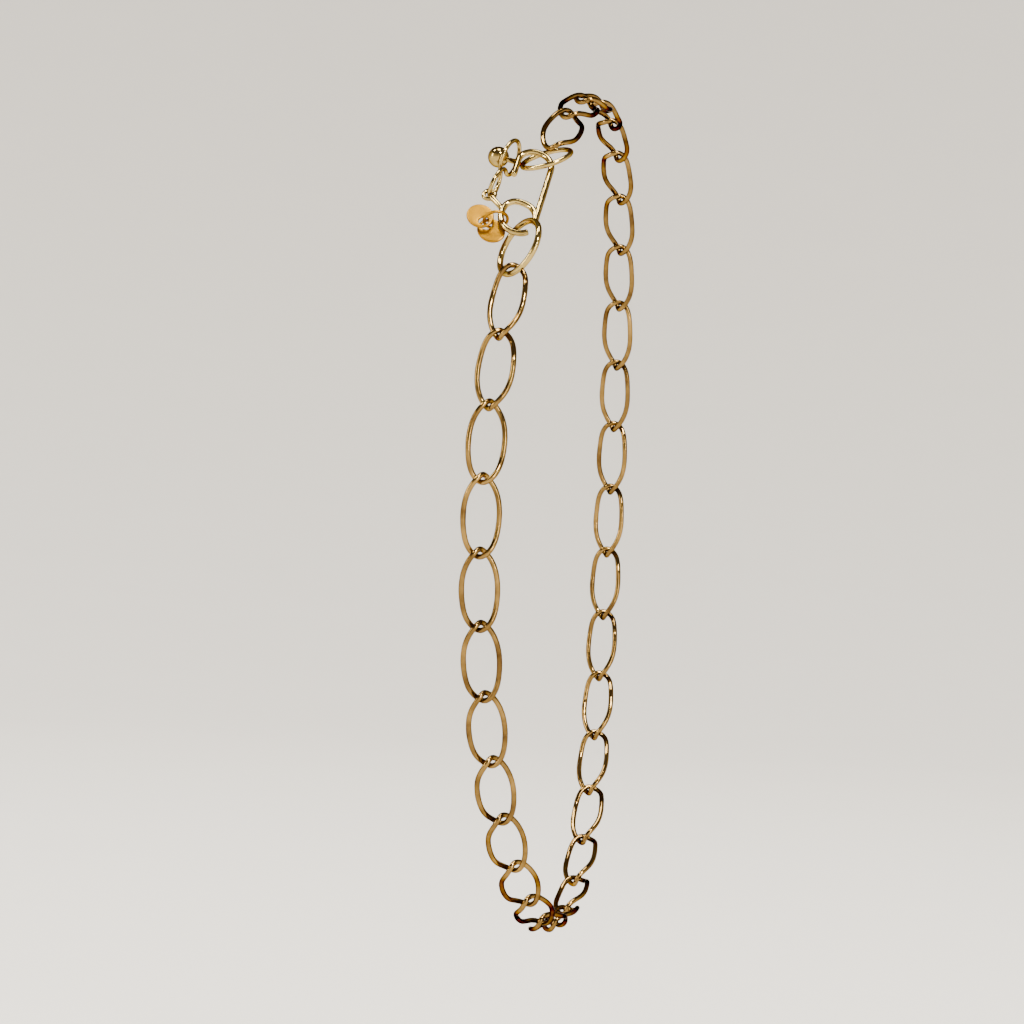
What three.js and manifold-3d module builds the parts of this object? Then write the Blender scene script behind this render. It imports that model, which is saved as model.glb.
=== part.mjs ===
// A fine open curb-link bracelet in polished yellow metal, in the form that it takes round a wrist. It is a loop of
// separate twisted wire links, closed by a bent-wire hook with a figure-eight safety latch, with two bare oval tags.
//
// Millimetres, +Z up. The origin is the middle of the wrist, X runs along the arm, and the clasp is on the -Y side.
import * as THREE from "three";
import { mergeVertices } from "three/addons/utils/BufferGeometryUtils.js";
import Module from "manifold-3d";

const wasm = await Module();
wasm.setup();

// ---- Driving dimensions ----

const loop = {
  halfDepth: 27.22, // from the wrist's middle to the front of the loop, along Y
  halfHeight: 33.33, // to its top and bottom, along Z
  sway: 1.06, // how far the front and back stand to the left of the wrist's middle, and top and bottom to its right
  claspStart: 18.82, // along the loop, from its foremost point up to the lower end of the clasp
  claspRun: 13.4, // along the loop, from the lower end of the clasp to its upper end
};

const link = {
  count: 32,
  wire: 0.42, // diameter
  width: 3.2, // outside
  gap: 0.17, // between the wires of two links where they hook into each other
  endTwist: 43, // degrees that each end is turned out of the plane of the link's middle
  roll: 26, // degrees that a link rolls over on the chain's axis
  steps: 28,
  sides: 6,
};
// The links next to the clasp roll otherwise: the first two from its lower end on, and the last three above it.
const rollByClasp = new Map([[0, -18], [1, -9], [link.count - 3, 21], [link.count - 2, 16], [link.count - 1, 12]]);

// The clasp's pieces, in the plane of its hook: from the middle of the hook's eye, X across, Y up and Z outwards.
const endRing = { radius: 2.27, wire: 0.48, at: [0.82, -3.16, 0.04], turn: -42, pitch: 10 };
const catchRing = { radius: 1.96, wire: 0.4, at: [0.62, 6.55, -0.47], normal: [-0.289, 0.451, 0.844] };

const hook = {
  tilt: 38, // degrees that the clasp leans back with the wrist
  lean: 3.96, // degrees that it leans to the right
  rise: [-0.45, 5.09, 0.3], // from the lower end of the clasp to the middle of the eye: across, up and outwards
  wire: 0.5,
  halfWidth: 1.39, // from the middle to the centreline of the bar
  eyeMiddle: -0.12,
  eyeHeight: 1.5, // from the middle of the eye to the centreline of its top
  eyeSlope: -0.3, // how far the eye's outline rises for each millimetre to the right
  eyeFullness: 2.3, // exponent of the eye's outline: 2 is an ellipse
  eyeMouth: 312, // degrees from the bar round to the open end of the eye
  barBottom: -0.45,
  archTop: [-0.45, 6.7], // highest point of the arch
  archRight: 4.9, // height where the arch leaves the bar
  archLeft: 5.8, // height where it turns down into the short leg
  legBottom: 4.25, // height of the short leg's cut end
  steps: 30,
  sides: 10,
};

// The round eye that the latch turns in, and the lug that joins it to the hook's eye, at an angle round that eye.
const hinge = { at: [-2.77, 1.92], radius: 0.45, wire: 0.32, lugWire: 0.42, lugAngle: 172 };
// The ball by its radius, and the stem that carries it by the height where it meets the short leg.
const stud = { at: [-3.0, 5.88], ball: 0.82, wire: 0.4, shoulder: 5.5 };
const latch = {
  wire: 0.34,
  lean: -10.5, // degrees from the hook's bar, when it is closed
  lowerHalfLength: 1.3,
  lowerHalfWidth: 0.9,
  upperHalfLength: 1.5,
  upperHalfWidth: 1.12,
  cross: 0.23, // half the distance between the wires where they pass each other at the waist
  steps: 44,
  sides: 8,
};

// The small ring that carries the tags: its place round the hook's eye, and how far its middle is out from the wire.
const tagRing = { radius: 0.9, wire: 0.24, angle: 205, offset: 0.4 };
const tag = { halfWidth: 1.0, halfLength: 1.25, thickness: 0.22, holeRadius: 0.4, play: 0.06, rim: 0.22 };
// Where each tag hangs: its place round the small ring, the direction that it points in, and its dip to the back.
const tags = [
  { name: "tag_1", ringAngle: 0, points: 130, dip: 0 },
  { name: "tag_2", ringAngle: -28, points: -44, dip: 3 },
];

// ---- Materials ----

const polished = new THREE.MeshStandardMaterial({ color: 0xe0b668, roughness: 0.14, metalness: 1 });
const claspGold = new THREE.MeshStandardMaterial({ color: 0xdcb264, roughness: 0.18, metalness: 1 });
const tagGold = new THREE.MeshStandardMaterial({ color: 0xd69a3c, roughness: 0.3, metalness: 1 });

// ---- Curves ----

const rad = THREE.MathUtils.degToRad;
const signedPower = (value, exponent) => Math.sign(value) * Math.abs(value) ** exponent;

// The middle line of the worn chain: an ellipse in the plane across the arm that sways along the arm.
// It starts at the foremost point and goes up over the clasp, round the back and in under the wrist.
class WristLoop extends THREE.Curve {
  getPoint(t, target = new THREE.Vector3()) {
    const angle = 2 * Math.PI * t;
    return target.set(
      -loop.sway * Math.cos(2 * angle),
      -loop.halfDepth * Math.cos(angle),
      loop.halfHeight * Math.sin(angle),
    );
  }
}

// Curves whose points are evenly spaced in their own parameter, so that the tight ends get as many as the sides.
class EvenCurve extends THREE.Curve {
  getUtoTmapping(u) {
    return u;
  }
}

// The centreline of one link: an ellipse whose two ends twist about its length, by the cube of the way to the end.
// Its length lies along Y and its face along Z.
class TwistedOval extends EvenCurve {
  constructor(halfWidth, halfLength, roll) {
    super();
    Object.assign(this, { halfWidth, halfLength, roll });
  }
  getPoint(t, target = new THREE.Vector3()) {
    const angle = 2 * Math.PI * t + Math.PI / 2;
    const along = Math.sin(angle);
    const twist = rad(this.roll + link.endTwist * along ** 3);
    const side = this.halfWidth * Math.cos(angle);
    return target.set(side * Math.cos(twist), this.halfLength * along, -side * Math.sin(twist));
  }
}

// Part of an ellipse in the hook's plane, between two angles in degrees.
class Arc extends THREE.Curve {
  constructor(middle, halfWidth, halfHeight, from, to) {
    super();
    Object.assign(this, { middle, halfWidth, halfHeight, from, to });
  }
  getPoint(t, target = new THREE.Vector3()) {
    const angle = rad(this.from + (this.to - this.from) * t);
    const [x, y] = this.middle;
    return target.set(x + this.halfWidth * Math.cos(angle), y + this.halfHeight * Math.sin(angle), 0);
  }
}

// The hook's eye: a full oval on a slope, from the bar round to its open end.
class Eye extends THREE.Curve {
  getPoint(t, target = new THREE.Vector3()) {
    const angle = rad(hook.eyeMouth * t);
    const x = hook.halfWidth * signedPower(Math.cos(angle), 2 / hook.eyeFullness);
    const rise = hook.eyeHeight * signedPower(Math.sin(angle), 2 / hook.eyeFullness);
    return target.set(x, hook.eyeMiddle + rise + hook.eyeSlope * x, 0);
  }
}
const eye = new Eye();

// The latch's wire: an oval round the ball stud above the waist, then one round the hinge below it. The two passes of
// the waist lie side by side. Y runs along the latch from the hinge, and Z across it.
class FigureEight extends EvenCurve {
  getPoint(t, target = new THREE.Vector3()) {
    const upper = t < 0.5;
    const angle = 4 * Math.PI * t;
    const halfLength = upper ? latch.upperHalfLength : -latch.lowerHalfLength;
    const halfWidth = upper ? latch.upperHalfWidth : latch.lowerHalfWidth;
    return target.set(
      -latch.cross * Math.cos(2 * Math.PI * t),
      2 * latch.lowerHalfLength + halfLength * (1 - Math.cos(angle)),
      halfWidth * Math.sin(angle),
    );
  }
}

// ---- Solids ----

// The same triangles with only their positions, each shared vertex once.
function bare(geometry) {
  const copy = geometry.clone();
  copy.deleteAttribute("normal");
  copy.deleteAttribute("uv");
  return mergeVertices(copy, 1e-4);
}

// One closed geometry from several that run into each other, as soldered metal does.
function soldered(geometries) {
  const solids = geometries.map((geometry) => {
    const { index, attributes } = bare(geometry);
    return new wasm.Manifold(
      new wasm.Mesh({
        numProp: 3,
        vertProperties: new Float32Array(attributes.position.array),
        triVerts: new Uint32Array(index.array),
      }),
    );
  });
  const joined = solids.reduce((all, solid) => all.add(solid)).getMesh();
  const geometry = new THREE.BufferGeometry();
  geometry.setAttribute("position", new THREE.BufferAttribute(joined.vertProperties, 3));
  geometry.setIndex(new THREE.BufferAttribute(joined.triVerts, 1));
  geometry.computeVertexNormals();
  return geometry;
}

const closedWire = (curve, wire, steps, sides) => new THREE.TubeGeometry(curve, steps, wire / 2, sides, true);

// Round wire with two cut ends along a curve.
function cutWire(curve, wire, steps, sides) {
  const corners = Array.from({ length: sides }, (_, i) => {
    const angle = (2 * Math.PI * (i + 0.5)) / sides;
    return new THREE.Vector2((wire / 2) * Math.cos(angle), (wire / 2) * Math.sin(angle));
  });
  return new THREE.ExtrudeGeometry(new THREE.Shape(corners), { steps, extrudePath: curve, bevelEnabled: false });
}

// A straight rod in the clasp's plane.
function rod([x0, y0], [x1, y1], wire) {
  const length = Math.hypot(x1 - x0, y1 - y0);
  const geometry = new THREE.CylinderGeometry(wire / 2, wire / 2, length, 10);
  geometry.rotateZ(Math.atan2(y1 - y0, x1 - x0) - Math.PI / 2);
  return geometry.translate((x0 + x1) / 2, (y0 + y1) / 2, 0);
}

const ring = ({ radius, wire }, sides = 8, steps = 28) => new THREE.TorusGeometry(radius, wire / 2, sides, steps);

function mesh(name, geometry, material) {
  const made = new THREE.Mesh(geometry, material);
  made.name = name;
  return made;
}

// ---- The chain ----

const wristLoop = new WristLoop();
wristLoop.arcLengthDivisions = 4000;
const loopLength = wristLoop.getLength();
const pitch = (loopLength - loop.claspRun) / link.count;

// The place where link number i hooks into the next: 0 is the lower end ring, and the last is the catch ring.
function jointAt(i) {
  const run = loop.claspStart - i * pitch;
  return wristLoop.getPointAt((((run / loopLength) % 1) + 1) % 1);
}

// A frame at a point: X across the chain, Y along it towards the clasp's lower end, and Z out from the wrist.
function frameAlong(point, direction) {
  const along = direction.clone().normalize();
  const out = new THREE.Vector3(1, 0, 0).cross(along).normalize();
  const across = new THREE.Vector3().crossVectors(along, out);
  return new THREE.Matrix4().makeBasis(across, along, out).setPosition(point);
}

function chainLink(i) {
  const upper = jointAt(i);
  const lower = jointAt(i + 1);
  const halfLength = (upper.distanceTo(lower) + link.wire + link.gap) / 2;
  const oval = new TwistedOval((link.width - link.wire) / 2, halfLength, rollByClasp.get(i) ?? link.roll);
  const made = mesh(
    `link_${String(i + 1).padStart(2, "0")}`,
    closedWire(oval, link.wire, link.steps, link.sides),
    polished,
  );
  const middle = upper.clone().add(lower).divideScalar(2);
  made.applyMatrix4(frameAlong(middle, upper.clone().sub(lower)));
  return made;
}

// ---- The clasp, in its own plane: X across, Y up along the bar, Z out from the wrist ----

function makeHook() {
  const { halfWidth, archTop, archLeft, archRight, legBottom, barBottom } = hook;
  const [top, crown] = archTop;
  const upright = (x, from, to) => new THREE.LineCurve3(new THREE.Vector3(x, from, 0), new THREE.Vector3(x, to, 0));
  const hairpin = new THREE.CurvePath();
  hairpin.add(upright(-halfWidth, legBottom, archLeft));
  hairpin.add(new Arc([top, archLeft], halfWidth + top, crown - archLeft, 180, 90));
  hairpin.add(new Arc([top, archRight], halfWidth - top, crown - archRight, 90, 0));
  hairpin.add(upright(halfWidth, archRight, barBottom));

  const onEye = eye.getPoint(hinge.lugAngle / hook.eyeMouth).toArray();
  const towards = Math.atan2(onEye[1] - hinge.at[1], onEye[0] - hinge.at[0]);
  const lugStart = [
    hinge.at[0] + hinge.radius * Math.cos(towards),
    hinge.at[1] + hinge.radius * Math.sin(towards),
  ];
  return mesh(
    "hook",
    soldered([
      cutWire(hairpin, hook.wire, hook.steps, hook.sides),
      cutWire(eye, hook.wire, hook.steps, hook.sides),
      ring(hinge, 8, 18).translate(...hinge.at, 0),
      rod(lugStart, onEye, hinge.lugWire),
      rod(stud.at, [-halfWidth, stud.shoulder], stud.wire),
      new THREE.SphereGeometry(stud.ball, 18, 12).translate(...stud.at, 0),
    ]),
    claspGold,
  );
}

function makeLatch() {
  const made = mesh("safety_latch", closedWire(new FigureEight(), latch.wire, latch.steps, latch.sides), claspGold);
  made.position.set(...hinge.at, 0);
  made.rotation.z = rad(latch.lean);
  return made;
}

function makeEndRing() {
  const made = mesh("end_ring", ring(endRing), claspGold);
  made.position.set(...endRing.at);
  made.rotation.set(rad(endRing.pitch), rad(endRing.turn), 0);
  return made;
}

function makeCatchRing() {
  const made = mesh("catch_ring", ring(catchRing), claspGold);
  made.position.set(...catchRing.at);
  const normal = new THREE.Vector3(...catchRing.normal).normalize();
  made.quaternion.setFromUnitVectors(new THREE.Vector3(0, 0, 1), normal);
  return made;
}

// The small ring stands across the wire of the eye, a little out from it, and its own X axis points outwards.
function makeTagRing() {
  const holder = new THREE.Group();
  const t = tagRing.angle / hook.eyeMouth;
  const tangent = eye.getTangent(t);
  const out = new THREE.Vector3(tangent.y, -tangent.x, 0);
  holder.position.copy(eye.getPoint(t)).addScaledVector(out, tagRing.offset);
  holder.rotation.z = Math.atan2(out.y, out.x);
  holder.add(mesh("tag_ring", ring(tagRing, 6, 20).rotateX(Math.PI / 2), tagGold));
  holder.updateMatrix();
  return holder;
}

// A flat oval with one hole. The origin is where the small ring's wire passes, and the tag points along X.
function tagGeometry() {
  const { halfWidth, halfLength, thickness, holeRadius, play, rim } = tag;
  const outline = new THREE.Shape();
  outline.absellipse(halfLength - rim - holeRadius + play, 0, halfLength, halfWidth, 0, 2 * Math.PI, false, 0);
  const hole = new THREE.Path();
  hole.absarc(play, 0, holeRadius, 0, 2 * Math.PI, true);
  outline.holes.push(hole);
  const plate = new THREE.ExtrudeGeometry(outline, { depth: thickness, bevelEnabled: false, curveSegments: 9 });
  return plate.translate(0, 0, -thickness / 2);
}

function makeTag({ name, ringAngle, points, dip }, holder) {
  const place = new THREE.Vector3(
    tagRing.radius * Math.cos(rad(ringAngle)),
    0,
    tagRing.radius * Math.sin(rad(ringAngle)),
  );
  const made = mesh(name, tagGeometry(), tagGold);
  made.position.copy(place.applyMatrix4(holder.matrix));
  made.rotation.set(0, rad(dip), rad(points), "ZYX");
  return made;
}

function makeClasp() {
  const clasp = new THREE.Group();
  const back = rad(hook.tilt);
  const plane = new THREE.Matrix4().makeBasis(
    new THREE.Vector3(1, 0, 0),
    new THREE.Vector3(0, Math.sin(back), Math.cos(back)),
    new THREE.Vector3(0, -Math.cos(back), Math.sin(back)),
  );
  plane.setPosition(jointAt(0));
  clasp.applyMatrix4(plane);

  const leaning = new THREE.Group();
  leaning.position.set(...hook.rise);
  leaning.rotation.z = -rad(hook.lean);
  const holder = makeTagRing();
  leaning.add(makeHook(), makeLatch(), makeEndRing(), makeCatchRing(), holder);
  for (const row of tags) leaning.add(makeTag(row, holder));
  clasp.add(leaning);
  return clasp;
}

const bracelet = new THREE.Group();
bracelet.name = "link_bracelet";
for (let i = 0; i < link.count; i += 1) bracelet.add(chainLink(i));
bracelet.add(makeClasp());

export default bracelet;
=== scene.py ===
"""A fine chain bracelet in polished yellow gold, in the loop that a wrist gives it, with its hook clasp.

Every wire is a round tube carried along a centreline that numpy works out. Lengths are millimetres in the
clasp's or a link's own plane, and metres once a piece is in its place.
"""

import math

import bpy
import numpy as np
from mathutils import Matrix, Vector


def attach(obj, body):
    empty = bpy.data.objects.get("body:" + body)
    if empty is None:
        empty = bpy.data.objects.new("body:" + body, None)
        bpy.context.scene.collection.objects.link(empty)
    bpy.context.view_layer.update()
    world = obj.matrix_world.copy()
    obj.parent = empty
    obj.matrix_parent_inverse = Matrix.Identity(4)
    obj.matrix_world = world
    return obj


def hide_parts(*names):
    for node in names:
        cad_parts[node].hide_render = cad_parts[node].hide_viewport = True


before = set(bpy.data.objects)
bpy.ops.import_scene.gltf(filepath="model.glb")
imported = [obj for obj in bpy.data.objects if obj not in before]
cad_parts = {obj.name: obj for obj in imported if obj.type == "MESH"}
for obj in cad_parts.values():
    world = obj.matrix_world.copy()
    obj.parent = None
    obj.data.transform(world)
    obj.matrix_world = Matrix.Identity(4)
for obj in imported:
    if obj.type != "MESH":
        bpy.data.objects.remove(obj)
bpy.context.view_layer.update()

MM = 0.001
TAU = 2 * np.pi

# ---- Sizes, in millimetres and degrees ----

# The clasp starts so far up the loop from its foremost point, and takes up its own run of it.
LOOP = dict(half_depth=27.22, half_height=33.33, sway=1.06, clasp_start=18.82, clasp_run=13.4)
LOOP_STEPS = 40000
# The gap lies between the wires of two links. The end twist turns each end out of the middle's plane.
LINK = dict(count=32, wire=0.42, width=3.2, gap=0.17, end_twist=43, roll=26)
# Links beside the clasp, counted from its lower end, roll otherwise.
ROLL_BY_CLASP = {0: -18, 1: -9, LINK["count"] - 3: 21, LINK["count"] - 2: 16, LINK["count"] - 1: 12}
# Places in the clasp are across, up and outwards from the middle of the hook's eye.
END_RING = dict(radius=2.27, wire=0.48, at=(0.82, -3.16, 0.04), turn=-42, pitch=10)
CATCH_RING = dict(radius=1.96, wire=0.4, at=(0.62, 6.55, -0.47), normal=(-0.289, 0.451, 0.844))
HOOK = dict(
    tilt=38,
    lean=3.96,
    rise=(-0.45, 5.09, 0.3),
    wire=0.5,
    half_width=1.39,
    eye_middle=-0.12,
    eye_height=1.5,
    eye_slope=-0.3,
    eye_fullness=2.3,
    eye_mouth=312,
    bar_bottom=-0.45,
    arch_top=(-0.45, 6.7),
    arch_right=4.9,
    arch_left=5.8,
    leg_bottom=4.25,
)
HINGE = dict(at=(-2.77, 1.92), radius=0.45, wire=0.32, lug_wire=0.42, lug_angle=172)
STUD = dict(at=(-3.0, 5.88), ball=0.82, wire=0.4, shoulder=5.5)
# Each loop of the latch by its half length and half width, and half the wires' distance at its waist.
LATCH = dict(wire=0.34, lean=-10.5, lower=(1.3, 0.9), upper=(1.5, 1.12), cross=0.23)
TAG_RING = dict(radius=0.9, wire=0.24, angle=205, offset=0.4)
TAG = dict(half_width=1.0, half_length=1.25, thickness=0.22, hole=0.4, play=0.06, rim=0.22)
# Each tag's angle round the small ring, the angle that it points at, and its dip to the back.
TAGS = {"tag_1": (0, 130, 0), "tag_2": (-28, -44, 3)}


# ---- Curves ----


def signed_power(values, exponent):
    """Each value's size to the exponent, with the value's own sign."""
    return np.sign(values) * np.abs(values) ** exponent


def unit(vectors):
    """The vectors, each divided by its length."""
    return vectors / np.linalg.norm(vectors, axis=-1, keepdims=True)


def wrist_line(angle):
    """The chain's middle line: an ellipse across the arm, which sways by the cosine of twice the angle."""
    return np.stack(
        [
            -LOOP["sway"] * np.cos(2 * angle),
            -LOOP["half_depth"] * np.cos(angle),
            LOOP["half_height"] * np.sin(angle),
        ],
        axis=-1,
    )


around = np.linspace(0, TAU, LOOP_STEPS + 1)
line = wrist_line(around)
run = np.concatenate([[0], np.cumsum(np.linalg.norm(np.diff(line, axis=0), axis=1))])
pitch = (run[-1] - LOOP["clasp_run"]) / LINK["count"]
stops = (LOOP["clasp_start"] - pitch * np.arange(LINK["count"] + 1)) % run[-1]
joints = wrist_line(np.interp(stops, run, around))


def twisted_oval(half_length, rolled, steps=88):
    """A link's centreline: an ellipse that turns by the end twist times the cube of the way to its end. The
    side that the wire's first corner faces comes with it.
    """
    angle = np.arange(steps) / steps * TAU + np.pi / 2
    along = np.sin(angle)
    twist = np.radians(rolled + LINK["end_twist"] * along**3)
    side = (LINK["width"] - LINK["wire"]) / 2 * np.cos(angle)
    points = np.stack([side * np.cos(twist), half_length * along, -side * np.sin(twist)], axis=-1)
    face = np.stack([np.sin(twist), np.zeros(steps), np.cos(twist)], axis=-1)
    return points, face


def arc(middle, wide, high, start, end, steps):
    """Part of an ellipse in the clasp's plane, between two angles."""
    angle = np.radians(np.linspace(start, end, steps))
    across, up = middle[0] + wide * np.cos(angle), middle[1] + high * np.sin(angle)
    return np.stack([across, up, np.zeros(steps)], axis=-1)


def eye_line(degrees):
    """The hook's eye: a full oval, whose cosine and sine are raised to a power, on a slope."""
    angle = np.radians(np.asarray(degrees, dtype=float))
    across = HOOK["half_width"] * signed_power(np.cos(angle), 2 / HOOK["eye_fullness"])
    rise = HOOK["eye_height"] * signed_power(np.sin(angle), 2 / HOOK["eye_fullness"])
    up = HOOK["eye_middle"] + rise + HOOK["eye_slope"] * across
    return np.stack([across, up, np.zeros(angle.shape)], axis=-1)


def circle(radius, steps):
    """A circle in the plane of X and Y."""
    angle = np.arange(steps) / steps * TAU
    return radius * np.stack([np.cos(angle), np.sin(angle), np.zeros(steps)], axis=-1)


def figure_eight(steps=192):
    """The latch's centreline: an oval round the ball above the waist, then one round the hinge below it."""
    along = np.arange(steps) / steps
    upper = along < 0.5
    lower_length, lower_width = LATCH["lower"]
    upper_length, upper_width = LATCH["upper"]
    length = np.where(upper, upper_length, -lower_length)
    width = np.where(upper, upper_width, lower_width)
    across = -LATCH["cross"] * np.cos(TAU * along)
    up = 2 * lower_length + length * (1 - np.cos(2 * TAU * along))
    return np.stack([across, up, width * np.sin(2 * TAU * along)], axis=-1)


# ---- Surfaces ----


def skin(name, rows, closed=True):
    """A closed surface over a grid of points. Rows follow each other along the piece, and join up if it is
    closed, or else end in a fan. Columns run round it.
    """
    count, sides = rows.shape[:2]
    points = rows.reshape(-1, 3)
    index = np.arange(count * sides).reshape(count, sides)
    near = index if closed else index[:-1]
    far = np.roll(index, -1, axis=0) if closed else index[1:]
    quads = np.stack([near, far, np.roll(far, -1, axis=1), np.roll(near, -1, axis=1)], axis=-1)
    quads = quads.reshape(-1, 4)
    faces = quads.tolist()
    if not closed:
        points = np.concatenate([points, rows[:1].mean(axis=1), rows[-1:].mean(axis=1)])
        first, last = index[0], index[-1]
        faces += np.stack([np.roll(first, -1), np.full(sides, len(points) - 2), first], axis=-1).tolist()
        faces += np.stack([last, np.full(sides, len(points) - 1), np.roll(last, -1)], axis=-1).tolist()
    corners = points[quads]
    volume = np.einsum("ij,ij->", corners[:, 0], np.cross(corners[:, 1], corners[:, 2]))
    volume += np.einsum("ij,ij->", corners[:, 0], np.cross(corners[:, 2], corners[:, 3]))
    if volume < 0:
        faces = [face[::-1] for face in faces]
    mesh = bpy.data.meshes.new(name)
    mesh.from_pydata(points.tolist(), [], faces)
    mesh.polygons.foreach_set("use_smooth", np.ones(len(mesh.polygons), dtype=bool))
    mesh.update()
    piece = bpy.data.objects.new(name, mesh)
    bpy.context.scene.collection.objects.link(piece)
    return piece


def wire_rows(points, side, radius, closed, sides=18):
    """Rings of points round a centreline, square to it, that start on the side that is given."""
    if closed:
        tangent = unit(np.roll(points, -1, axis=0) - np.roll(points, 1, axis=0))
    else:
        tangent = unit(np.gradient(points, axis=0))
    side = np.broadcast_to(side, points.shape)
    out = unit(side - np.sum(side * tangent, axis=-1, keepdims=True) * tangent)
    over = np.cross(tangent, out)
    angle = np.arange(sides) / sides * TAU
    radius = np.broadcast_to(radius, len(points))[:, None, None]
    turn = np.cos(angle)[None, :, None] * out[:, None] + np.sin(angle)[None, :, None] * over[:, None]
    return points[:, None] + radius * turn


def cut_wire_rows(points, side, radius, softness=0.6, sides=18):
    """A wire with two rounded cut ends: each adds rings that shrink on a quarter of an ellipse."""
    radius = np.broadcast_to(radius, len(points)).astype(float)
    ease = np.radians(np.linspace(15, 90, 6))
    start, end = unit(points[0] - points[1]), unit(points[-1] - points[-2])
    before = points[0] + start * (radius[0] * softness * np.sin(ease))[:, None]
    after = points[-1] + end * (radius[-1] * softness * np.sin(ease))[:, None]
    shrink = 1 - softness * (1 - np.cos(ease))
    whole = np.concatenate([before[::-1], points, after])
    radii = np.concatenate([radius[0] * shrink[::-1], radius, radius[-1] * shrink])
    return wire_rows(whole, side, radii, closed=False, sides=sides)


def swell(steps, at, amount, spread):
    """How a closed wire thickens at a soldered joint: one, plus a bell curve round the place."""
    along = np.arange(steps) / steps
    apart = np.abs(along - at)
    apart = np.minimum(apart, 1 - apart)
    return 1 + amount * np.exp(-((apart / spread) ** 2))


def ball_rows(centre, radius, steps=36, sides=48):
    """A ball: half circles turned round the axis that faces outwards."""
    angle = np.radians(np.linspace(4, 176, steps))
    turn = np.arange(sides) / sides * TAU
    flat = np.sin(angle)[:, None]
    up = np.broadcast_to(np.cos(angle)[:, None], (steps, sides))
    return np.asarray(centre) + radius * np.stack([flat * np.cos(turn), flat * np.sin(turn), up], axis=-1)


def tag_rows(steps=96, edge_depth=0.8, crown=0.12):
    """A flat oval with a hole: a section from the hole out to the rim, swept round the hole. Its edges are
    rounded over a share of its half thickness, and its faces are crowned.
    """
    half = TAG["thickness"] / 2
    angle = np.arange(steps) / steps * TAU
    ring = np.stack([np.cos(angle), np.sin(angle)], axis=-1)
    inner = [TAG["play"], 0] + TAG["hole"] * ring
    centre = TAG["half_length"] - TAG["rim"] - TAG["hole"] + TAG["play"]
    outer = [centre, 0] + np.array([TAG["half_length"], TAG["half_width"]]) * ring
    edge = np.radians(np.linspace(-90, 90, 9))
    spread = np.linspace(0, 1, 13)[1:-1]
    depth = half * edge_depth
    reach = np.linalg.norm(outer - inner, axis=-1)[:, None]
    rounding = depth / reach
    share = np.concatenate(
        [
            1 - rounding * (1 - np.cos(edge)),
            1 - rounding - spread * (1 - 2 * rounding),
            rounding * (1 - np.cos(edge)),
            rounding + spread * (1 - 2 * rounding),
        ],
        axis=1,
    )
    face = np.ones(len(spread))
    height = half * np.concatenate([np.sin(edge), face, -np.sin(edge), -face])
    raised = 1 + crown * np.sin(np.pi * share)
    flat = inner[:, None] + share[..., None] * (outer - inner)[:, None]
    return np.concatenate([flat, (height * raised / (1 + crown))[..., None]], axis=-1)


# ---- Places ----


def link_place(i):
    """The middle of one link, its axes, with Y along the chain and Z out from the wrist, and its pitch."""
    upper, lower = joints[i], joints[i + 1]
    along = unit(upper - lower)
    out = unit(np.cross([1.0, 0.0, 0.0], along))
    axes = np.stack([np.cross(along, out), along, out])
    return (upper + lower) / 2, axes, np.linalg.norm(upper - lower)


def turned(angle, axis):
    """The rows that a turn about one axis sends X, Y and Z to."""
    return np.array(Matrix.Rotation(math.radians(angle), 3, axis)).T


back = math.radians(HOOK["tilt"])
lift, fall = math.sin(back), math.cos(back)
plane = np.array([[1, 0, 0], [0, lift, fall], [0, -fall, lift]])
clasp_axes = turned(-HOOK["lean"], "Z") @ plane
clasp_middle = joints[0] + np.array(HOOK["rise"]) @ plane


def in_clasp(rows, axes=np.eye(3), at=(0, 0, 0)):
    """Points of a piece, turned and set in the clasp's plane, and then in the bracelet's frame, in metres."""
    return ((rows @ axes + np.asarray(at)) @ clasp_axes + clasp_middle) * MM


def polar(angle, radius):
    """A point at an angle and a distance in the clasp's plane."""
    return np.array([radius * math.cos(math.radians(angle)), radius * math.sin(math.radians(angle)), 0.0])


# ---- Finishes ----

# Grains of each noise to a metre.
POLISH_GRAINS = dict(drift=420, haze=2600, hairline=21000, ripple=900)
SATIN_GRAINS = dict(patch=700, brushed=16000)
FLOOR_GRAINS = 30


class Value:
    """A shader socket with one number, which adds its own Math nodes when it is used in an expression."""

    def __init__(self, finish, socket):
        self.finish, self.socket = finish, socket

    def combine(self, operation, first, second):
        made = self.finish.node("ShaderNodeMath", {"operation": operation}, {0: first, 1: second})
        return Value(self.finish, made.outputs[0])

    def __add__(self, other):
        return self.combine("ADD", self, other)

    def __radd__(self, other):
        return self.combine("ADD", other, self)

    def __sub__(self, other):
        return self.combine("SUBTRACT", self, other)

    def __rsub__(self, other):
        return self.combine("SUBTRACT", other, self)

    def __mul__(self, other):
        return self.combine("MULTIPLY", self, other)

    def __rmul__(self, other):
        return self.combine("MULTIPLY", other, self)


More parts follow.
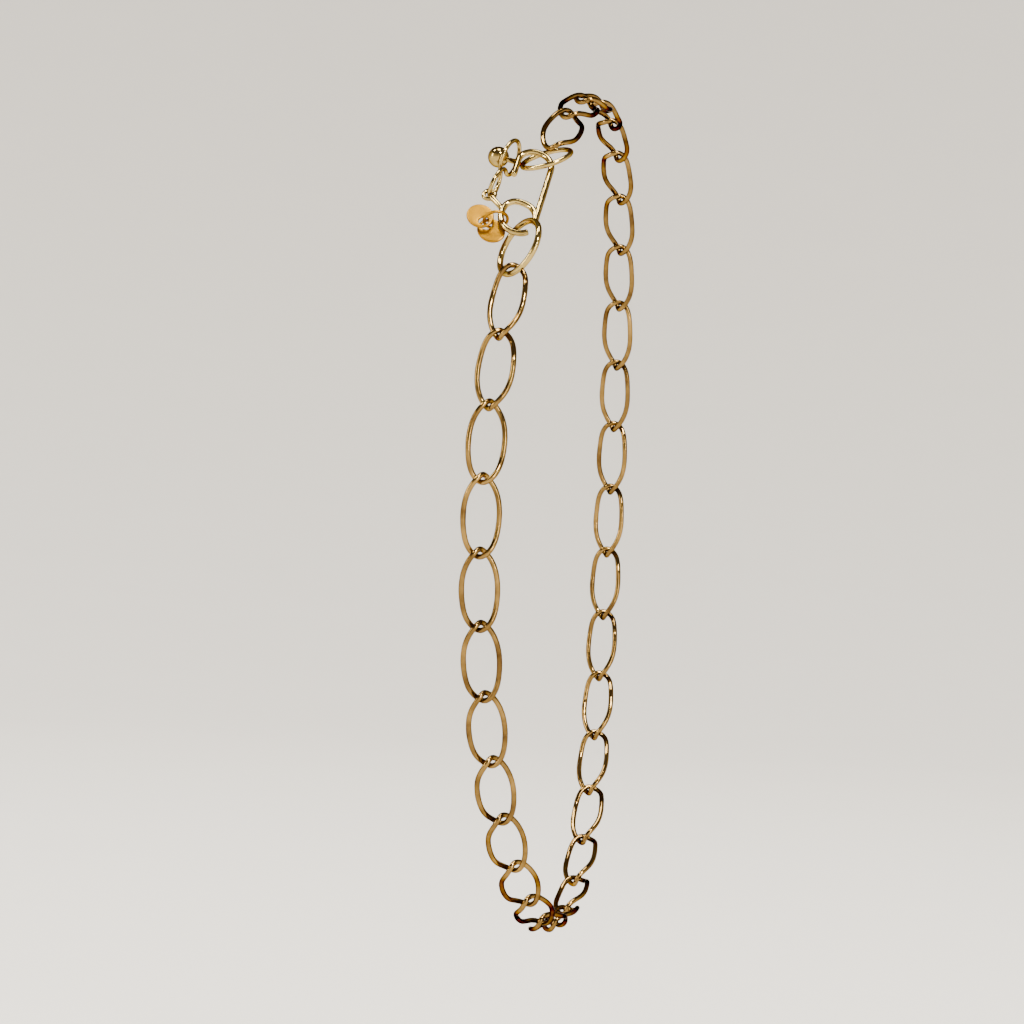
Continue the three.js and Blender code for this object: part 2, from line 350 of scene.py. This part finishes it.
class Finish:
    """A material under construction."""

    def __init__(self, name):
        self.material = bpy.data.materials.new(name)
        self.material.use_nodes = True
        self.tree = self.material.node_tree
        self.tree.nodes.clear()

    def node(self, kind, settings=None, inputs=None):
        """A node with its settings, and the values or links of its sockets."""
        made = self.tree.nodes.new(kind)
        for key, value in (settings or {}).items():
            setattr(made, key, value)
        for key, value in (inputs or {}).items():
            source = value.socket if isinstance(value, Value) else value
            if isinstance(source, bpy.types.NodeSocket):
                self.tree.links.new(source, made.inputs[key])
            else:
                made.inputs[key].default_value = source
        return made

    def noise(self, place, scale, detail=2.0, roughness=0.5):
        """Soft noise from nought to one, so many grains to a metre."""
        made = self.node(
            "ShaderNodeTexNoise",
            {"normalize": True},
            {"Vector": place, "Scale": scale, "Detail": detail, "Roughness": roughness},
        )
        return Value(self, made.outputs["Fac"])

    def mixed(self, factor, first, second):
        """One colour that goes over into another, with the factor held between nought and one."""
        settings = {"data_type": "RGBA", "clamp_factor": True}
        made = self.node("ShaderNodeMix", settings, {0: factor, 6: first, 7: second})
        return made.outputs[2]


def polished_gold(name, light, deep, edge, smooth, marks):
    """Polished gold: slow drifts of tone, a finer haze in its gloss, hairline marks, and a dark brown edge
    tint that is painted shade.
    """
    gold = Finish(name)
    place = gold.node("ShaderNodeTexCoord").outputs["Object"]
    drift = gold.noise(place, POLISH_GRAINS["drift"], 3, 0.55)
    haze = gold.noise(place, POLISH_GRAINS["haze"], 4, 0.6)
    stretched = gold.node("ShaderNodeMapping", None, {"Vector": place, "Scale": (1.0, 0.22, 0.35)}).outputs[0]
    hairline = gold.noise(stretched, POLISH_GRAINS["hairline"], 3, 0.7)
    ripple = gold.noise(place, POLISH_GRAINS["ripple"], 2, 0.4)
    height = ripple * 0.97 + hairline * 0.03
    bump = gold.node("ShaderNodeBump", None, {"Height": height, "Strength": marks, "Distance": 0.0001})
    shader = gold.node(
        "ShaderNodeBsdfPrincipled",
        None,
        {
            "Base Color": gold.mixed(drift * 2.2 + haze * 0.5 - 0.85, light, deep),
            "Metallic": 1.0,
            # The edge tint is painted shade: it darkens the gloss at grazing edges into dark brown outlines.
            "Specular Tint": edge,
            "Roughness": smooth + haze * 0.07 + hairline * 0.03,
            "Normal": bump.outputs[0],
        },
    )
    gold.node("ShaderNodeOutputMaterial", None, {"Surface": shader.outputs[0]})
    return gold.material


def satin_gold(name, light, deep, edge):
    """Satin gold plate: fine brushed lines along the tag, and a duller tone in its broad patches."""
    gold = Finish(name)
    place = gold.node("ShaderNodeTexCoord").outputs["Object"]
    patch = gold.noise(place, SATIN_GRAINS["patch"], 3, 0.5)
    stretched = gold.node("ShaderNodeMapping", None, {"Vector": place, "Scale": (0.12, 1.0, 0.4)}).outputs[0]
    brushed = gold.noise(stretched, SATIN_GRAINS["brushed"], 4, 0.65)
    height = brushed * 0.6 + patch * 0.4
    bump = gold.node("ShaderNodeBump", None, {"Height": height, "Strength": 0.25, "Distance": 0.00004})
    shader = gold.node(
        "ShaderNodeBsdfPrincipled",
        None,
        {
            "Base Color": gold.mixed(patch * 0.8 + brushed * 0.2, light, deep),
            "Metallic": 1.0,
            # On the tags the edge tint carries the same painted orange reflection as the tones.
            "Specular Tint": edge,
            "Roughness": 0.27 + brushed * 0.16,
            "Normal": bump.outputs[0],
        },
    )
    gold.node("ShaderNodeOutputMaterial", None, {"Surface": shader.outputs[0]})
    return gold.material


# The chain's tones are much darker and browner than the clasp's: painted shade standing in for shaded
# reflections on the links. The drift between its two tones is random.
chain_gold_painted_shade = polished_gold(
    "polished chain gold with painted shade",
    light=(0.28, 0.17, 0.049, 1),
    deep=(0.055, 0.026, 0.007, 1),
    # Painted shade: a dark brown edge tint that darkens the wires' outlines.
    edge=(0.1, 0.05, 0.015, 1),
    smooth=0.04,
    marks=0.7,
)
clasp_gold = polished_gold(
    "polished clasp gold",
    light=(0.5, 0.365, 0.125, 1),
    deep=(0.2, 0.13, 0.036, 1),
    # Painted shade: a dark brown edge tint that darkens the wires' outlines.
    edge=(0.18, 0.115, 0.036, 1),
    smooth=0.03,
    marks=0.45,
)
# The deep orange tones of the tags and the small ring are a painted reflection: gold that mirrors a warm tan
# surface, not the gold's own colour.
tag_gold_painted_reflection = satin_gold(
    "satin tag gold with painted reflection",
    light=(0.32, 0.155, 0.009, 1),
    deep=(0.2, 0.09, 0.004, 1),
    edge=(0.34, 0.18, 0.03, 1),
)


def fit_piece(piece, body, node, material):
    """Hangs a finished piece on its body, in the place of its plain solid."""
    piece.data.materials.append(material)
    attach(piece, body)
    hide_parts(node)


# ---- The chain ----

for i in range(LINK["count"]):
    middle, axes, span = link_place(i)
    half_length = (span + LINK["wire"] + LINK["gap"]) / 2
    oval, face = twisted_oval(half_length, ROLL_BY_CLASP.get(i, LINK["roll"]))
    thickness = LINK["wire"] / 2 * swell(len(oval), 0.25, 0.05, 0.02)
    rows = wire_rows(oval, face, thickness, closed=True)
    piece = skin(f"chain_link_{i + 1:02d}", (rows @ axes + middle) * MM)
    fit_piece(piece, "bracelet", f"link_{i + 1:02d}", chain_gold_painted_shade)

# ---- The clasp ----

OUTWARD = np.array([0.0, 0.0, 1.0])
half_width, bar_bottom, leg_bottom = HOOK["half_width"], HOOK["bar_bottom"], HOOK["leg_bottom"]
arch_right, arch_left = HOOK["arch_right"], HOOK["arch_left"]
top, crown = HOOK["arch_top"]


def straight(start, end, steps):
    """Evenly spaced points from one place to another."""
    return np.linspace(np.asarray(start, dtype=float), np.asarray(end, dtype=float), steps)


bow = np.concatenate(
    [
        straight((-half_width, leg_bottom, 0), (-half_width, arch_left, 0), 12)[:-1],
        arc((top, arch_left), half_width + top, crown - arch_left, 180, 90, 28)[:-1],
        arc((top, arch_right), half_width - top, crown - arch_right, 90, 0, 32),
        straight((half_width, arch_right, 0), (half_width, bar_bottom, 0), 48)[1:],
    ]
)
eye = eye_line(np.linspace(0, HOOK["eye_mouth"], 128))
hinge_at = np.array([*HINGE["at"], 0.0])
on_eye = eye_line(HINGE["lug_angle"])
lug_start = hinge_at + unit(on_eye - hinge_at) * HINGE["radius"]
stud_at = np.array([*STUD["at"], 0.0])
shoulder = np.array([-half_width, STUD["shoulder"], 0.0])


def flared(start, end, wire, flare, steps=28):
    """A short rod that widens at both soldered ends, as the hyperbolic cosine of the way from its middle."""
    points = straight(start, end, steps)
    way = np.linspace(-1, 1, steps)
    radius = wire / 2 * (1 + flare * (np.cosh(3 * way) - 1) / (math.cosh(3) - 1))
    return cut_wire_rows(points, OUTWARD, radius)


hook_parts = {
    "hook_bow": cut_wire_rows(bow, OUTWARD, HOOK["wire"] / 2),
    "hook_eye": cut_wire_rows(eye, OUTWARD, HOOK["wire"] / 2),
    "hinge_lug": flared(lug_start, on_eye, HINGE["lug_wire"], 0.22),
    "ball_stem": flared(stud_at, shoulder, STUD["wire"], 0.3),
    "stud_ball": ball_rows(stud_at, STUD["ball"]),
}
for name, rows in hook_parts.items():
    fit_piece(skin(name, in_clasp(rows), closed=False), "bracelet", "hook", clasp_gold)

hinge_loop = wire_rows(circle(HINGE["radius"], 56), OUTWARD, HINGE["wire"] / 2, closed=True)
fit_piece(skin("hinge_loop", in_clasp(hinge_loop, at=hinge_at)), "bracelet", "hook", clasp_gold)

latch_rows = wire_rows(figure_eight(), (1.0, 0.0, 0.0), LATCH["wire"] / 2, closed=True)
latch_piece = skin("latch_wire", in_clasp(latch_rows, turned(LATCH["lean"], "Z"), hinge_at))
fit_piece(latch_piece, "latch", "safety_latch", clasp_gold)


def ring_rows(size, steps=120, seam=0.25):
    """A round wire ring with a faint swelling where it is soldered shut."""
    thickness = size["wire"] / 2 * swell(steps, seam, 0.04, 0.012)
    return wire_rows(circle(size["radius"], steps), OUTWARD, thickness, closed=True, sides=20)


end_turn = turned(END_RING["turn"], "Y") @ turned(END_RING["pitch"], "X")
end_piece = skin("lower_ring", in_clasp(ring_rows(END_RING), end_turn, END_RING["at"]))
fit_piece(end_piece, "bracelet", "end_ring", clasp_gold)

catch_normal = Vector(CATCH_RING["normal"]).normalized()
catch_turn = np.array(Vector(OUTWARD).rotation_difference(catch_normal).to_matrix()).T
catch_piece = skin("upper_ring", in_clasp(ring_rows(CATCH_RING, seam=0.6), catch_turn, CATCH_RING["at"]))
fit_piece(catch_piece, "bracelet", "catch_ring", clasp_gold)

# The small ring stands across the eye's wire, a little out from it, and the tags hang on it.
before, on_wire, after = eye_line([TAG_RING["angle"] - 0.5, TAG_RING["angle"], TAG_RING["angle"] + 0.5])
outward = np.cross(unit(after - before), OUTWARD)
holder_at = on_wire + outward * TAG_RING["offset"]
holder_axes = turned(math.degrees(math.atan2(outward[1], outward[0])), "Z")
small_rows = ring_rows(TAG_RING, steps=72) @ turned(90, "X")
small_piece = skin("small_ring", in_clasp(small_rows, holder_axes, holder_at))
fit_piece(small_piece, "bracelet", "tag_ring", tag_gold_painted_reflection)

for node, (ring_angle, points, dip) in TAGS.items():
    place = polar(ring_angle, TAG_RING["radius"]) @ turned(90, "X") @ holder_axes + holder_at
    axes = turned(dip, "Y") @ turned(points, "Z")
    fit_piece(skin(f"oval_{node}", in_clasp(tag_rows(), axes, place)), "bracelet", node, tag_gold_painted_reflection)

# ---- Camera, lights and floor ----

# Angles in degrees, the distance from the loop's middle in metres, and the lens and sensor in millimetres.
# The camera aims to the left of the middle by the angle aside.
CAMERA = dict(yaw=10.72, roll=3.02, aside=0.75, distance=0.31722, lens=137.6, sensor=36)

yaw, roll = math.radians(CAMERA["yaw"]), math.radians(CAMERA["roll"])
right = Vector((math.cos(yaw) * math.cos(roll), math.sin(yaw) * math.cos(roll), math.sin(roll)))
above = Vector((-math.cos(yaw) * math.sin(roll), -math.sin(yaw) * math.sin(roll), math.cos(roll)))
ahead = above.cross(right)
stand = -CAMERA["distance"] * ahead
aim = (ahead - math.tan(math.radians(CAMERA["aside"])) * right).normalized()
right = aim.cross(above).normalized()
facing = Matrix((right, right.cross(aim), -aim)).transposed().to_4x4()
camera_data = bpy.data.cameras.new("camera")
camera_data.sensor_width = CAMERA["sensor"]
camera_data.lens = CAMERA["lens"]
camera_data.clip_start = 0.01
camera_data.clip_end = 20
camera = bpy.data.objects.new("camera", camera_data)
camera.matrix_world = Matrix.Translation(stand) @ facing
bpy.context.scene.collection.objects.link(camera)
bpy.context.scene.camera = camera


# Each soft box: its place, width and height in metres, its watts and its colour.
SOFT_BOXES = {
    "key": ((0.53, -0.86, 1.08), 0.22, 0.22, 36, (1.0, 0.97, 0.88)),
    "fill": ((-0.88, -0.47, 0.36), 0.1, 0.45, 6.2, (1.0, 0.95, 0.86)),
    "strip": ((0.69, -0.73, 0.33), 0.067, 0.56, 9.5, (1.0, 0.97, 0.9)),
    "side": ((-0.79, -0.14, 1.25), 0.24, 0.34, 17, (1.0, 0.98, 0.9)),
    "top": ((0.05, -0.1, 1.44), 0.5, 0.5, 27, (1.0, 0.98, 0.92)),
}
for name, (place, width, height, watts, colour) in SOFT_BOXES.items():
    data = bpy.data.lights.new(name, "AREA")
    data.shape = "RECTANGLE"
    data.size, data.size_y = width, height
    data.energy = watts
    data.color = colour
    lamp = bpy.data.objects.new(name, data)
    lamp.location = place
    lamp.rotation_euler = (-Vector(place)).to_track_quat("-Z", "Y").to_euler()
    bpy.context.scene.collection.objects.link(lamp)

world = bpy.data.worlds.new("studio")
world.use_nodes = True
world.node_tree.nodes["Background"].inputs[0].default_value = (0.62, 0.56, 0.5, 1)
world.node_tree.nodes["Background"].inputs[1].default_value = 0.4
bpy.context.scene.world = world

floor_finish = Finish("pale floor")
floor_place = floor_finish.node("ShaderNodeTexCoord").outputs["Object"]
floor_cloud = floor_finish.noise(floor_place, FLOOR_GRAINS, 3)
floor_tone = floor_finish.mixed(floor_cloud, (0.74, 0.71, 0.67, 1), (0.72, 0.69, 0.65, 1))
floor_inputs = {"Base Color": floor_tone, "Roughness": 0.9}
floor_shader = floor_finish.node("ShaderNodeBsdfPrincipled", None, floor_inputs)
floor_finish.node("ShaderNodeOutputMaterial", None, {"Surface": floor_shader.outputs[0]})

# The floor is a round dish of paper, in metres: flat in the middle, and a quarter circle up to its edge.
flat_reach, bend_radius, floor_level = 0.6, 1.5, -0.055
middle_reach, bend_steps, floor_sides = 0.002, 48, 96
bending = np.radians(np.linspace(0, 90, bend_steps))
profile = np.concatenate([[middle_reach, flat_reach / 2], flat_reach + bend_radius * np.sin(bending)])
heights = np.concatenate([[0.0, 0.0], bend_radius * (1 - np.cos(bending))]) + floor_level
turn = np.arange(floor_sides) / floor_sides * TAU
level = np.broadcast_to(heights[:, None], (len(heights), len(turn)))
floor_rows = np.stack([profile[:, None] * np.cos(turn), profile[:, None] * np.sin(turn), level], axis=-1)
floor_mesh = bpy.data.meshes.new("floor")
index = np.arange(floor_rows[..., 0].size).reshape(level.shape)
inner, outer = index[:-1], index[1:]
quads = np.stack([inner, outer, np.roll(outer, -1, axis=1), np.roll(inner, -1, axis=1)], axis=-1)
floor_faces = quads.reshape(-1, 4).tolist() + [index[0].tolist()]
floor_mesh.from_pydata(floor_rows.reshape(-1, 3).tolist(), [], floor_faces)
floor_mesh.polygons.foreach_set("use_smooth", np.ones(len(floor_mesh.polygons), dtype=bool))
floor = bpy.data.objects.new("floor", floor_mesh)
floor_mesh.materials.append(floor_finish.material)
bpy.context.scene.collection.objects.link(floor)
